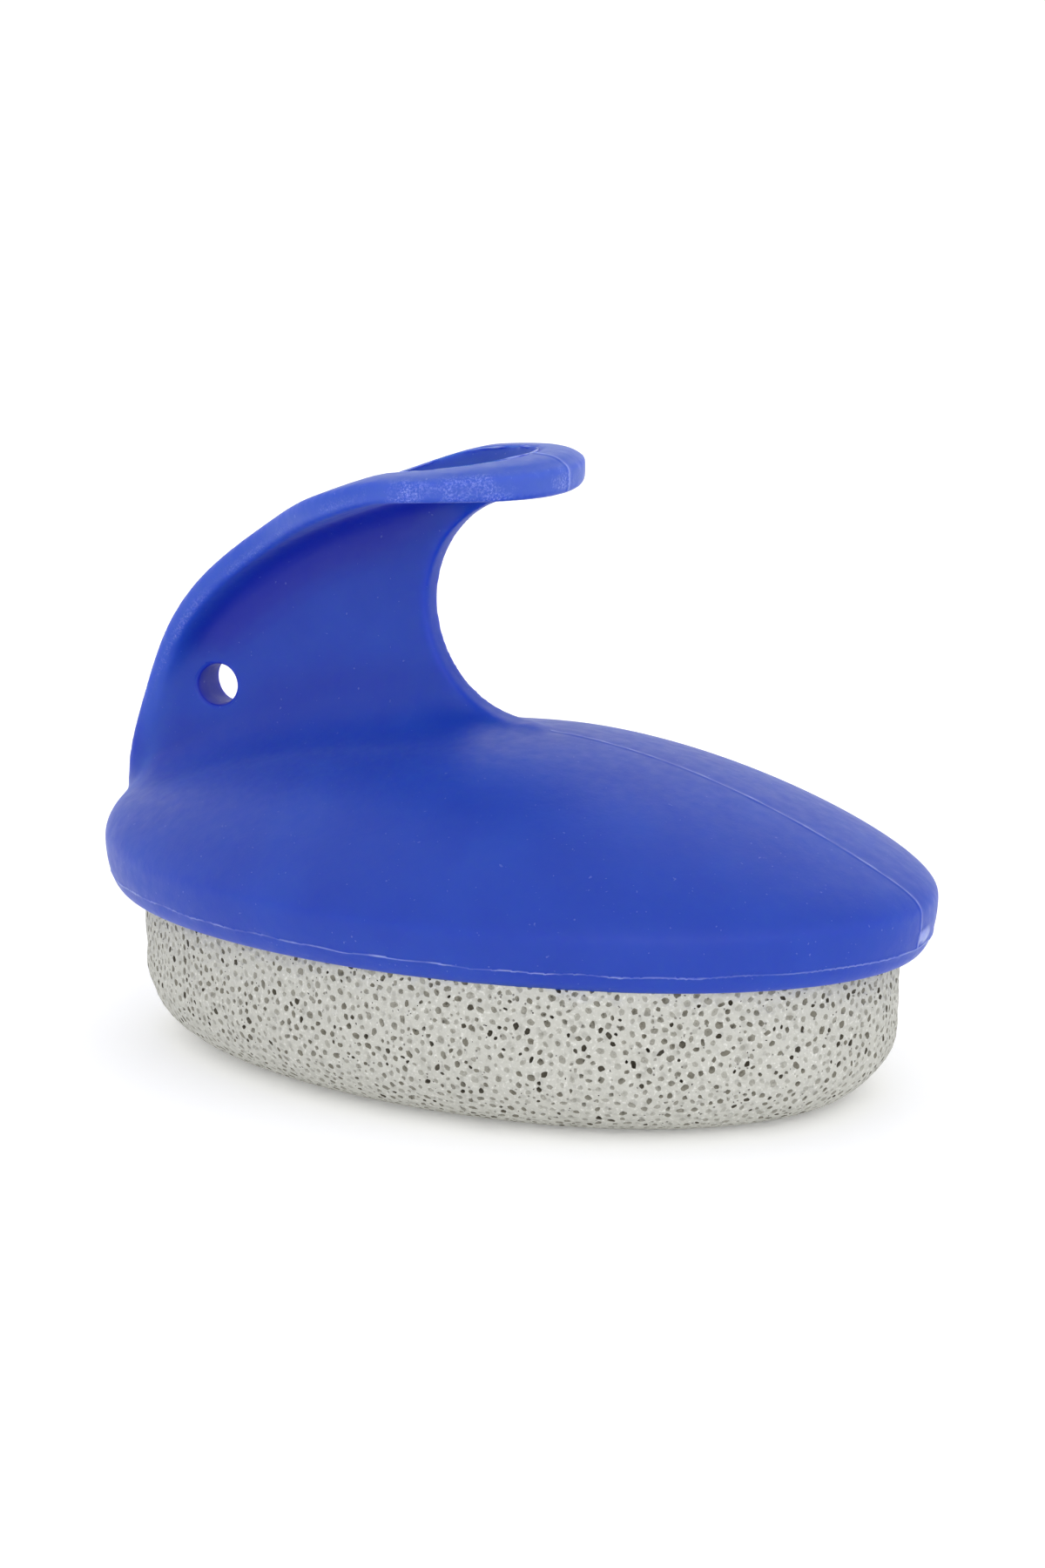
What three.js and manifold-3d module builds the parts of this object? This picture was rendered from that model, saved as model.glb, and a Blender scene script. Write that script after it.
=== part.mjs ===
// Pumice stone with a hook handle: a block of porous pumice glued under a handle moulded in one piece.
// Millimetres, +Z up. The origin is on the ground under the middle of the stone, +X points to the nose,
// which is the low end of the handle, and the part is symmetric about the plane y = 0 apart from its pits.

import * as THREE from 'three';
import { mergeVertices } from 'three/addons/utils/BufferGeometryUtils.js';
import Module from 'manifold-3d';

const wasm = await Module();
wasm.setup();

// Handle body: an oval dome that sits on the stone
const BODY_LENGTH = 100;
const BODY_WIDTH = 63.1;
const RIM_BOTTOM = 17; // height of the underside
const RIM_WIDEST = 22.9; // height of the widest line, where the rounded lower edge meets the dome
const RIM_INSET = 2.3; // how far the edge of the underside is drawn in
const RIDGE_PEAK = 38.15;
const RIDGE_PEAK_X = 3;
const RIDGE_AT_NOSE = 24.35;
const RIDGE_AT_TAIL = 26.3;
const RIDGE_POWER = 1.84; // 2 would make the ridge a parabola
const END_POWER = 60; // how sharply the ridge rounds over at the nose and the tail
const DOME_POWER_MIDDLE = 0.755; // shape of the cross-section: 1 is a parabola, 0.5 an ellipse
const DOME_POWER_ENDS = 0.495;

// Fin: an upright web that leaves a finger gap under its hooked top
const WEB_THICKNESS = 3;
const WEB_EDGE = 0.7; // rounding of the web's edge in the finger gap
const WEB_COVER = 1.2; // how far the web's back lies under the flange's outer face
const WEB_RUNOUT = 5; // length over which the web's foot runs out on the dome
const GAP_RADIUS = 12.6;
const GAP_X = 2.6;
const GAP_Z = 51.3;
const FLARE_SHARE = 0.42; // reach of the sweep from dome to web, as a share of the body's half-width
const NECK_SHARE = 0.15; // the web's most share of the body's half-width, near the nose and the tail
const HOLE_DIAMETER = 5.2; // hanging hole
const HOLE_X = -37.3;
const HOLE_Z = 39.3;

// Flange along the fin's back: one edge as x, half-width, height, from the tail up to the round tab
const FLANGE_EDGE = [
  [-48.4, 3.0, 19.5],
  [-49.5, 3.0, 27.0],
  [-47.05, 3.3, 36.8],
  [-42.75, 3.7, 46.4],
  [-36.55, 4.5, 53.3],
  [-28.2, 6.5, 59.1],
  [-20.0, 9.7, 63.6],
  [-13.0, 12.9, 66.3],
  [-7.0, 14.2, 67.75],
];
const TAB_RADIUS = 14.2;
const TAB_X = -7.0;
const TAB_TOP = 67.75;
const TAB_RISE = 0.15; // how much higher the tab's tip is than its middle
const FLANGE_AT_TAIL = 1.6; // thickness of the flange's edge
const FLANGE_AT_TAB = 2.65;
const FLANGE_AT_TIP = 3.3;
const FLANGE_CROWN = 0.7; // extra thickness along the middle of the tab
const FLANGE_ROUND = 0.7;
const FLANGE_FILLET = 2.4; // fillet between flange and web
const FILLET_SHARE = 0.6; // most of the flange's overhang that the fillet takes up
const POCKET_RIM = 4.9; // width of the rim around the finger rest in the tab
const POCKET_DEPTH = 2.4;
const POCKET_ROUND = 0.8; // rounding between its wall and its floor
const POCKET_TAIL_X = -25;
const POCKET_CLOSING = 9; // length over which the pocket narrows to its tail

// Stone: an oval block with a rounded lower edge, open pores and a flat underside
const STONE_LENGTH = 90.6;
const STONE_WIDTH = 58.6;
const STONE_TAPER = 0.08; // how much wider the stone is towards the nose and narrower towards the tail
const STONE_EDGE = 8.8;
const GLUE_LINE = 0.3;
const PIT_COUNT_SIDE = 88;
const PIT_COUNT_BASE = 24;
const PIT_SMALLEST = 0.65; // radius
const PIT_LARGEST = 1.5;
const PIT_SPACING = 1.25; // least distance between two pits, as a share of their summed radii
const PIT_SHALLOWEST = -0.35; // depth of a pit's centre under the surface, as a share of its radius
const PIT_DEEPEST = 0.1;
const PIT_LOWEST = 0.8; // height of the lowest pits on the flank
const PIT_FREE_TOP = 2.5; // height of the plain band under the handle
const PIT_FREE_BASE = 6; // radius of the plain patch in the middle of the underside
const PIT_SEED = 4711;

// Fineness of the faceted surfaces
const BODY_STATIONS = 34;
const RIM_STEPS = 4;
const FLANGE_STATIONS = 26;
const TAB_STATIONS = 11;
const FILLET_STEPS = 3;
const HOLE_SIDES = 24;
const GAP_SIDES = 48;
const STONE_SIDES = 56;
const STONE_EDGE_STEPS = 5;
const DOME_STEPS = [0.985, 0.94, 0.86, 0.75, 0.62]; // shares of the half-width, outside the sweep
const FLARE_STEPS = [1, 0.75, 0.52, 0.34, 0.19, 0.08, 0]; // shares of the sweep's reach, down to the web

const ARC_MIDDLE = 1 - Math.SQRT1_2; // how far the middle of a rounding of radius 1 lies from its two sides

const vector = (x, y, z) => new THREE.Vector3(x, y, z);
const clamp = THREE.MathUtils.clamp;
const lerp = THREE.MathUtils.lerp;
const mirrored = (point) => vector(point.x, -point.y, point.z);

// Closed skin over rings of equal count. A ring that lies flat in the plane y = 0 needs no cap.
function loft(rings) {
  const count = rings[0].length;
  const index = [];
  for (let ring = 0; ring + 1 < rings.length; ring += 1) {
    for (let side = 0; side < count; side += 1) {
      const next = (side + 1) % count;
      const low = ring * count;
      const high = low + count;
      index.push(low + side, high + next, low + next, low + side, high + side, high + next);
    }
  }
  const isOpen = (ring) => ring.some((point) => Math.abs(point.y) > 1e-6);
  const last = (rings.length - 1) * count;
  for (let side = 1; side + 1 < count; side += 1) {
    if (isOpen(rings[0])) index.push(0, side, side + 1);
    if (isOpen(rings[rings.length - 1])) index.push(last, last + side + 1, last + side);
  }
  const geometry = new THREE.BufferGeometry().setFromPoints(rings.flat());
  geometry.setIndex(index);
  return geometry;
}

// Solid that can be joined and cut, from a closed geometry
function solid(geometry) {
  geometry.deleteAttribute('normal');
  geometry.deleteAttribute('uv');
  const merged = mergeVertices(geometry);
  const corners = merged.index.array;
  const triangles = [];
  for (let i = 0; i < corners.length; i += 3) {
    const [a, b, c] = corners.slice(i, i + 3);
    if (a !== b && b !== c && c !== a) triangles.push(a, b, c);
  }
  return new wasm.Manifold(new wasm.Mesh({
    numProp: 3,
    vertProperties: merged.attributes.position.array,
    triVerts: Uint32Array.from(triangles),
  }));
}

// Named mesh from a finished solid
function node(name, shape, material) {
  const { vertProperties, triVerts, numProp } = shape.getMesh();
  const geometry = new THREE.BufferGeometry();
  geometry.setAttribute('position', new THREE.BufferAttribute(vertProperties, numProp));
  geometry.setIndex(new THREE.BufferAttribute(triVerts, 1));
  geometry.computeVertexNormals();
  const mesh = new THREE.Mesh(geometry, material);
  mesh.name = name;
  return mesh;
}

const halfLength = BODY_LENGTH / 2;
const halfWidth = BODY_WIDTH / 2;
const halfWeb = WEB_THICKNESS / 2;

// Height of the dome along its middle line, without the fin
function ridgeHeight(x) {
  const forward = x > RIDGE_PEAK_X;
  const end = forward ? halfLength : -halfLength;
  const endHeight = forward ? RIDGE_AT_NOSE : RIDGE_AT_TAIL;
  const run = (x - RIDGE_PEAK_X) / (end - RIDGE_PEAK_X);
  const line = RIDGE_PEAK - (RIDGE_PEAK - endHeight) * run ** RIDGE_POWER;
  const rounding = Math.sqrt(1 - Math.abs(x / halfLength) ** END_POWER);
  return RIM_WIDEST + (line - RIM_WIDEST) * rounding;
}

// Height of the dome at a share of its half-width, without the fin
function domeHeight(x, share) {
  const power = lerp(DOME_POWER_MIDDLE, DOME_POWER_ENDS, (x / halfLength) ** 2);
  return RIM_WIDEST + (ridgeHeight(x) - RIM_WIDEST) * (1 - share ** 2) ** power;
}

// Height of the sweep from the dome up into the web, from 0 at its full reach to the floor of the finger gap
function flareHeight(x, reach, share) {
  if (x >= GAP_X) return 0;
  const intoGap = x - GAP_X;
  const underGap = intoGap > -GAP_RADIUS;
  const gapFloor = underGap ? GAP_Z - Math.sqrt(GAP_RADIUS ** 2 - intoGap ** 2) : Infinity;
  const top = clamp(gapFloor - ridgeHeight(x), 0, reach);
  return top * (1 - Math.sqrt(1 - (1 - share) ** 2));
}

// Dome with its rim and underside, as cross-sections from the nose to the tail
function bodyShape() {
  const rings = [];
  for (let station = 0; station <= BODY_STATIONS; station += 1) {
    const turn = (Math.PI * station) / BODY_STATIONS;
    const along = Math.cos(turn);
    const atEnd = station === 0 || station === BODY_STATIONS;
    const across = atEnd ? 0 : Math.sin(turn);
    const half = [];
    for (let step = 0; step <= RIM_STEPS; step += 1) {
      const angle = (Math.PI * step) / (2 * RIM_STEPS);
      const inset = RIM_INSET * (1 - Math.sin(angle));
      const z = RIM_WIDEST - (RIM_WIDEST - RIM_BOTTOM) * Math.cos(angle);
      half.push(vector((halfLength - inset) * along, (halfWidth - inset) * across, z));
    }
    const x = halfLength * along;
    const y = halfWidth * across;
    for (const share of DOME_STEPS) half.push(vector(x, y * share, domeHeight(x, share)));
    const reach = FLARE_SHARE * y;
    const neckShare = Math.min(halfWeb / Math.max(y, halfWeb), NECK_SHARE);
    for (const step of FLARE_STEPS) {
      const share = neckShare + FLARE_SHARE * step;
      half.push(vector(x, y * share, domeHeight(x, share) + flareHeight(x, reach, step)));
    }
    half.push(vector(x, 0, ridgeHeight(x) + flareHeight(x, reach, 0)));
    const otherHalf = half.slice(0, -1).map(mirrored).reverse();
    rings.push([...half, ...otherHalf]);
  }
  return solid(loft(rings));
}

// Stations along the flange's edge: a point, the direction out past the edge, and inwards from the outer face
function flangeStations() {
  const spline = new THREE.CatmullRomCurve3(FLANGE_EDGE.map((point) => vector(...point)));
  const edge = [];
  for (let step = 0; step < FLANGE_STATIONS; step += 1) {
    edge.push({
      point: spline.getPointAt(step / FLANGE_STATIONS),
      tangent: spline.getTangentAt(step / FLANGE_STATIONS),
    });
  }
  for (let step = 0; step <= TAB_STATIONS; step += 1) {
    const angle = (Math.PI * (TAB_STATIONS - step)) / (2 * TAB_STATIONS);
    const across = step === TAB_STATIONS ? 0 : Math.sin(angle);
    const point = vector(
      TAB_X + TAB_RADIUS * Math.cos(angle),
      TAB_RADIUS * across,
      TAB_TOP + TAB_RISE * Math.cos(angle),
    );
    edge.push({ point, tangent: vector(across, -Math.cos(angle), 0) });
  }
  return edge.map(({ point, tangent }, step) => {
    const onTab = step >= FLANGE_STATIONS;
    const along = onTab ? vector(1, 0, 0) : vector(tangent.x, 0, tangent.z).normalize();
    const forward = Math.hypot(tangent.x, tangent.z);
    const outward = along.clone().multiplyScalar(-tangent.y).add(vector(0, forward, 0));
    return { point, outward, inward: vector(along.z, 0, -along.x) };
  });
}

const stations = flangeStations();

// Point of a flange section, set in from the edge and down from the outer face
function flangePoint({ point, inward, outward }, inset, depth) {
  return point.clone().addScaledVector(outward, -inset).addScaledVector(inward, depth);
}

// Flange and tab, as cross-sections from the tail to the tab's tip
function flangeShape() {
  const rings = stations.map((station) => {
    const { point, inward } = station;
    const taper = clamp((point.y - FLANGE_EDGE[0][1]) / (TAB_RADIUS - FLANGE_EDGE[0][1]), 0, 1);
    const onTab = point.x > TAB_X;
    const towardsTip = (point.x - TAB_X) / TAB_RADIUS;
    const thickness = onTab
      ? lerp(FLANGE_AT_TAB, FLANGE_AT_TIP, towardsTip ** 2)
      : lerp(FLANGE_AT_TAIL, FLANGE_AT_TAB, taper);
    const half = [
      [FLANGE_ROUND, 0],
      [FLANGE_ROUND * ARC_MIDDLE, FLANGE_ROUND * ARC_MIDDLE],
      [0, FLANGE_ROUND],
      [0, thickness - FLANGE_ROUND],
      [FLANGE_ROUND * ARC_MIDDLE, thickness - FLANGE_ROUND * ARC_MIDDLE],
      [FLANGE_ROUND, thickness],
    ].map(([inset, depth]) => flangePoint(station, inset, depth));

    const lowerEdge = half[half.length - 1];
    const reach = Math.max(lowerEdge.y, 0);
    const neck = Math.min(halfWeb, reach / 2);
    const crown = FLANGE_CROWN * (reach / TAB_RADIUS) ** 2;
    const overGap = point.x > GAP_X - GAP_RADIUS;
    const gapTop = GAP_Z + Math.sqrt(Math.max(GAP_RADIUS ** 2 - (point.x - GAP_X) ** 2, 0));
    const room = point.x < GAP_X ? Math.max(lowerEdge.z - crown - gapTop, 0) : 0;
    const fillet = Math.min(FLANGE_FILLET, FILLET_SHARE * (reach - neck), overGap ? room / 2 : Infinity);
    const under = (y, depth) => {
      const lowered = lowerEdge.clone().addScaledVector(inward, depth);
      return vector(lowered.x, y, lowered.z);
    };
    const halfway = (neck + fillet + reach) / 2;
    half.push(under(halfway, crown * (1 - (halfway / Math.max(reach, halfWeb)) ** 2)));
    for (let step = 0; step <= FILLET_STEPS; step += 1) {
      const angle = (Math.PI * step) / (2 * FILLET_STEPS);
      const y = neck + fillet * (1 - Math.sin(angle));
      half.push(under(y, crown + fillet * (1 - Math.cos(angle))));
    }
    return [...half, ...half.map(mirrored).reverse()];
  });
  return solid(loft(rings));
}

// Shallow finger rest sunk into the tab, narrowing along the flange
function pocketShape() {
  const rings = stations.filter(({ point }) => point.x > POCKET_TAIL_X).map((station, step) => {
    const closing = Math.sqrt(clamp((station.point.x - POCKET_TAIL_X) / POCKET_CLOSING, 0, 1));
    const half = [
      [POCKET_RIM, -POCKET_DEPTH],
      [POCKET_RIM, POCKET_DEPTH - POCKET_ROUND],
      [POCKET_RIM + POCKET_ROUND * ARC_MIDDLE, POCKET_DEPTH - POCKET_ROUND * ARC_MIDDLE],
      [POCKET_RIM + POCKET_ROUND, POCKET_DEPTH],
    ].map(([inset, depth]) => flangePoint(station, inset, depth));
    for (const point of half) point.y = step === 0 ? 0 : Math.max(point.y * closing, 0);
    return [...half, ...half.map(mirrored).reverse()];
  });
  return solid(loft(rings));
}

// Upright web between the dome and the flange, with the finger gap cut into its front
function webShape() {
  const gapStart = Math.PI / 2 + WEB_THICKNESS / GAP_RADIUS;
  const frontX = GAP_X + GAP_RADIUS * Math.cos(gapStart);
  const back = stations
    .map((station) => station.point.clone().addScaledVector(station.inward, WEB_COVER))
    .filter((point) => point.x < frontX)
    .map((point) => new THREE.Vector2(point.x, point.z));
  const outline = new THREE.Shape(back);
  outline.lineTo(frontX, TAB_TOP - WEB_COVER);
  outline.absarc(GAP_X, GAP_Z, GAP_RADIUS, gapStart, (3 * Math.PI) / 2, false);
  outline.lineTo(GAP_X + WEB_RUNOUT, ridgeHeight(GAP_X + WEB_RUNOUT) - WEB_EDGE);
  outline.lineTo(GAP_X, RIM_WIDEST + WEB_THICKNESS);
  const geometry = new THREE.ExtrudeGeometry(outline, {
    depth: WEB_THICKNESS - 2 * WEB_EDGE,
    bevelThickness: WEB_EDGE,
    bevelSize: WEB_EDGE,
    bevelOffset: -WEB_EDGE,
    bevelSegments: 2,
    curveSegments: GAP_SIDES / 2,
  });
  geometry.translate(0, 0, WEB_EDGE - halfWeb);
  geometry.rotateX(Math.PI / 2);
  return solid(geometry);
}

// Round opening through the fin from side to side
function openingShape(radius, x, z, sides) {
  const geometry = new THREE.CylinderGeometry(radius, radius, BODY_WIDTH, sides);
  geometry.rotateY(Math.PI / sides);
  geometry.translate(x, 0, z);
  return solid(geometry);
}

function handleShape() {
  const hangingHole = openingShape(HOLE_DIAMETER / 2, HOLE_X, HOLE_Z, HOLE_SIDES);
  const fingerGap = openingShape(GAP_RADIUS, GAP_X, GAP_Z, GAP_SIDES);
  const joined = bodyShape().add(webShape()).add(flangeShape());
  return joined.subtract(fingerGap).subtract(pocketShape()).subtract(hangingHole);
}

const stoneTop = RIM_BOTTOM - GLUE_LINE;
const stoneHalfLength = STONE_LENGTH / 2;
const stoneHalfWidth = STONE_WIDTH / 2;

// Point of the stone's flank, set in from its widest outline
function flankPoint(turn, inset, z) {
  const width = stoneHalfWidth * (1 + STONE_TAPER * Math.cos(turn)) - inset;
  return vector((stoneHalfLength - inset) * Math.cos(turn), width * Math.sin(turn), z);
}

function stoneBlock() {
  const levels = [];
  for (let step = 0; step <= STONE_EDGE_STEPS; step += 1) {
    const angle = (Math.PI * step) / (2 * STONE_EDGE_STEPS);
    levels.push([STONE_EDGE * (1 - Math.sin(angle)), STONE_EDGE * (1 - Math.cos(angle))]);
  }
  levels.push([0, stoneTop]);
  const rings = levels.map(([inset, z]) => {
    const ring = [];
    for (let side = 0; side < STONE_SIDES; side += 1) {
      ring.push(flankPoint((-2 * Math.PI * side) / STONE_SIDES, inset, z));
    }
    return ring;
  });
  return solid(loft(rings));
}

// Repeatable random numbers between 0 and 1
function randomSource(seed) {
  let state = seed;
  return () => {
    state = (state * 16807) % 2147483647;
    return state / 2147483647;
  };
}

// Pores large enough to see from a step away, as places and radii spread over the flank and the underside
function pitPlaces() {
  const random = randomSource(PIT_SEED);
  const pits = [];
  const place = (centre, radius) => {
    const isFree = pits.every((pit) => pit.centre.distanceTo(centre) > PIT_SPACING * (pit.radius + radius));
    if (isFree) pits.push({ centre, radius });
  };
  const nextRadius = () => lerp(PIT_SMALLEST, PIT_LARGEST, random() ** 2);
  while (pits.length < PIT_COUNT_SIDE) {
    const radius = nextRadius();
    const turn = 2 * Math.PI * random();
    const z = lerp(PIT_LOWEST, stoneTop - PIT_FREE_TOP, random());
    const drop = Math.max(STONE_EDGE - z, 0);
    const inset = STONE_EDGE - Math.sqrt(STONE_EDGE ** 2 - drop ** 2);
    const depth = radius * lerp(PIT_SHALLOWEST, PIT_DEEPEST, random());
    place(flankPoint(turn, inset + depth, z), radius);
  }
  while (pits.length < PIT_COUNT_SIDE + PIT_COUNT_BASE) {
    const radius = nextRadius();
    const point = flankPoint(2 * Math.PI * random(), 0, radius * lerp(PIT_SHALLOWEST, PIT_DEEPEST, random()));
    const spread = Math.sqrt(random()) * (1 - STONE_EDGE / stoneHalfWidth);
    const centre = vector(point.x * spread, point.y * spread, point.z);
    if (Math.hypot(centre.x, centre.y) > PIT_FREE_BASE) place(centre, radius);
  }
  return pits;
}

function stoneShape() {
  let shape = stoneBlock();
  const random = randomSource(PIT_SEED);
  for (const { centre, radius } of pitPlaces()) {
    const bubble = new THREE.IcosahedronGeometry(radius);
    bubble.rotateX(Math.PI * random());
    bubble.rotateZ(Math.PI * random());
    bubble.translate(centre.x, centre.y, centre.z);
    shape = shape.subtract(solid(bubble));
  }
  return shape;
}

const bluePlastic = new THREE.MeshStandardMaterial({ color: 0x3c52b2, roughness: 0.55, metalness: 0 });
const palePumice = new THREE.MeshStandardMaterial({ color: 0xd9d9d2, roughness: 0.95, metalness: 0 });

const pumiceStone = new THREE.Group();
pumiceStone.add(node('handle', handleShape(), bluePlastic));
pumiceStone.add(node('stone', stoneShape(), palePumice));

export default pumiceStone;
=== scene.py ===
# Pumice stone with a hook handle, on a pale floor under soft light.
import math

import bmesh
import bpy
import numpy as np
from mathutils import Matrix, Vector
from mathutils.bvhtree import BVHTree


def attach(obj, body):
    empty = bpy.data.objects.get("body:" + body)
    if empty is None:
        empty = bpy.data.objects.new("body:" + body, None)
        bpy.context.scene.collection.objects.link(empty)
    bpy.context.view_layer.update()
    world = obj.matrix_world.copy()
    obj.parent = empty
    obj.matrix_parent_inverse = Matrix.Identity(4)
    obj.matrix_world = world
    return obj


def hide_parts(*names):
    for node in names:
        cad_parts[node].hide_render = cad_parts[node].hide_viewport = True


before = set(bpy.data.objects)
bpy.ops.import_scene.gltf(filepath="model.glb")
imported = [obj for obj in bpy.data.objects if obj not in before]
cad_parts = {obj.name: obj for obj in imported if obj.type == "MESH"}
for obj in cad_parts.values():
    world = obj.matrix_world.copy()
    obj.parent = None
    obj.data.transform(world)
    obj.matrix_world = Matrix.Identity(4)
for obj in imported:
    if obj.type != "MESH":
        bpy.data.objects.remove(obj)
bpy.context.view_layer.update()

# Handle: one moulding of blue polyethylene, glued down onto the stone. An oval dome carries an upright fin
# with a hanging hole, and a flange along the fin's back hooks over into a tab with a sunk finger rest.
# Each form is skinned on its own in millimetres, then all are melted into one skin and smoothed.

MM = 0.001
TINY = 1e-6
NO_LIMIT = 1e3
# Dome and rim
BODY_HALF_LENGTH = 50.0
BODY_HALF_WIDTH = 31.55
RIM_BOTTOM = 17.0
RIM_WIDEST = 22.9
RIM_INSET = 2.3
RIDGE_PEAK = 38.15
RIDGE_PEAK_X = 3.0
RIDGE_AT_NOSE = 24.35
RIDGE_AT_TAIL = 26.3
RIDGE_POWER = 1.84
END_POWER = 60
DOME_POWER_MIDDLE = 0.755
DOME_POWER_ENDS = 0.495
# Fin, with the sweep at its foot, the finger gap before it and the hanging hole through it
FIN_HALF_THICKNESS = 1.5
FIN_EDGE = 0.5
FIN_COVER = 1.2
FIN_REST_COVER = 0.3
FIN_REST_LEAD = 2.0
FIN_RUNOUT = 5.0
FIN_NECK_SHARE = 0.15
SWEEP_REACH = 7.5
SWEEP_SHARE_MOST = 0.5
SWEEP_BLEND = 3.0
GAP_RADIUS = 12.6
GAP_X = 2.6
GAP_Z = 51.3
HOLE_RADIUS = 2.35
HOLE_X = -37.3
HOLE_Z = 39.3
HOLE_ROUND = 0.32
HOLE_FLARE = 0.3
HOLE_CORE_PROUD = 1.0
OUTSIDE_Y = -30.0
# Flange and tab, with the flange's edge as x, y, z from the tail up to the start of the tab's half-circle
TAB_RADIUS = 15.0
TAB_X = -7.8
TAB_TOP = 67.4
TAB_RISE = 1.4
FLANGE_EDGE = np.array([
    (-48.4, 3.0, 19.5),
    (-49.5, 3.0, 27.0),
    (-47.0, 3.4, 36.8),
    (-42.25, 4.6, 46.65),
    (-35.7, 6.0, 53.7),
    (-27.4, 7.9, 59.45),
    (-19.6, 12.2, 63.5),
    (-13.2, 14.2, 66.05),
    (TAB_X, TAB_RADIUS, TAB_TOP),
])
BACK_STATIONS = 170
TAIL_STATIONS = 20
TAB_STATIONS = 60
FLANGE_AT_TAIL = 2.6
FLANGE_AT_TAB = 2.95
FLANGE_AT_TIP = 4.2
FLANGE_CROWN = 0.7
FLANGE_ROUND = 1.0
TAB_ROUND = 0.5
TAB_DROP = 0.5
TIP_DROP = 1.0
DROP_POWER = 5
FLANGE_LOWER_ROUND = 0.9
LEAST_ROUND = 0.05
LEAST_REACH = 1e-3
COVE_ACROSS = 3.4
COVE_SHARE = 0.9
COVE_DEPTH = 5.0
WEDGE_FROM_Z = 46.0
WEDGE_TO_Z = 38.0
WEDGE_DEPTH = 12.0
REST_RIM = 5.2
REST_DEPTH = 2.4
REST_ROUND = 0.8
REST_TAIL_X = -25.0
REST_CLOSING = 9.0
REST_END_STEEPNESS = 4.0
# Melting and smoothing of the whole skin, and of its inner corners, which the mould maker's cutter rounds
WELD_DISTANCE = 1e-4
MELT_SIZE = 0.43
SMOOTH_STEPS = 8
SMOOTH_PUSHES = (0.6, -0.62)
CORNER_FROM = 0.006
CORNER_RANGE = 0.012
CORNER_ABOVE_BASE = 0.5
CORNER_EVENING = 4
CORNER_SPREAD = 14
CORNER_STEPS = 40
CORNER_PUSH = 0.5


def quarter_turn(count):
    """Even angles from 0 to a right angle."""
    return np.linspace(0, math.pi / 2, count)


def full_turn(count):
    """Even angles once round."""
    return np.linspace(0, 2 * math.pi, count, endpoint=False)


def skinned(name, rings):
    """Closed mesh over cross-sections: an array of rings by points by x, y, z."""
    ring_count, point_count = rings.shape[:2]
    corner = np.arange(ring_count * point_count).reshape(ring_count, point_count)
    low = corner[:-1]
    high = corner[1:]
    sides = np.stack([low, np.roll(low, -1, 1), np.roll(high, -1, 1), high], axis=-1)
    faces = sides.reshape(-1, 4).tolist()
    for ring in (0, -1):
        if np.abs(rings[ring][:, 1]).max() > TINY:
            faces.append(corner[ring].tolist())
    mesh = bpy.data.meshes.new(name)
    mesh.from_pydata(rings.reshape(-1, 3).tolist(), [], faces)
    return mesh


def both_sides(half):
    """Whole rings from a list of points on the +Y half, each an array over the stations."""
    near = np.stack(half, axis=1)
    far = near[:, ::-1] * (1, -1, 1)
    return np.concatenate([near, far], axis=1)


def ridge_height(x):
    """Height of the dome along its middle line."""
    forward = x > RIDGE_PEAK_X
    end = np.where(forward, BODY_HALF_LENGTH, -BODY_HALF_LENGTH)
    end_height = np.where(forward, RIDGE_AT_NOSE, RIDGE_AT_TAIL)
    run = np.clip((x - RIDGE_PEAK_X) / (end - RIDGE_PEAK_X), 0, 1)
    line = RIDGE_PEAK - (RIDGE_PEAK - end_height) * run**RIDGE_POWER
    rounding = np.sqrt(np.clip(1 - np.abs(x / BODY_HALF_LENGTH) ** END_POWER, 0, 1))
    return RIM_WIDEST + (line - RIM_WIDEST) * rounding


def dome_height(x, share):
    """Height of the dome at a share of its half-width."""
    middle = (x / BODY_HALF_LENGTH) ** 2
    power = DOME_POWER_MIDDLE + (DOME_POWER_ENDS - DOME_POWER_MIDDLE) * middle
    return RIM_WIDEST + (ridge_height(x) - RIM_WIDEST) * np.clip(1 - share**2, 0, 1) ** power


def sweep_height(x, reach, share):
    """Height of the sweep from the dome into the fin, which ends at the floor of the finger gap."""
    into_gap = np.clip(x - GAP_X, -GAP_RADIUS, 0)
    gap_floor = GAP_Z - np.sqrt(GAP_RADIUS**2 - into_gap**2)
    room = np.where(x > GAP_X - GAP_RADIUS, gap_floor - ridge_height(x), NO_LIMIT)
    room = np.maximum(room, TINY)
    reach = np.maximum(reach, TINY)
    top = np.where(x < GAP_X, (room**-SWEEP_BLEND + reach**-SWEEP_BLEND) ** (-1 / SWEEP_BLEND), 0)
    return top * (1 - math.sqrt(1 - (1 - share) ** 2))


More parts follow.
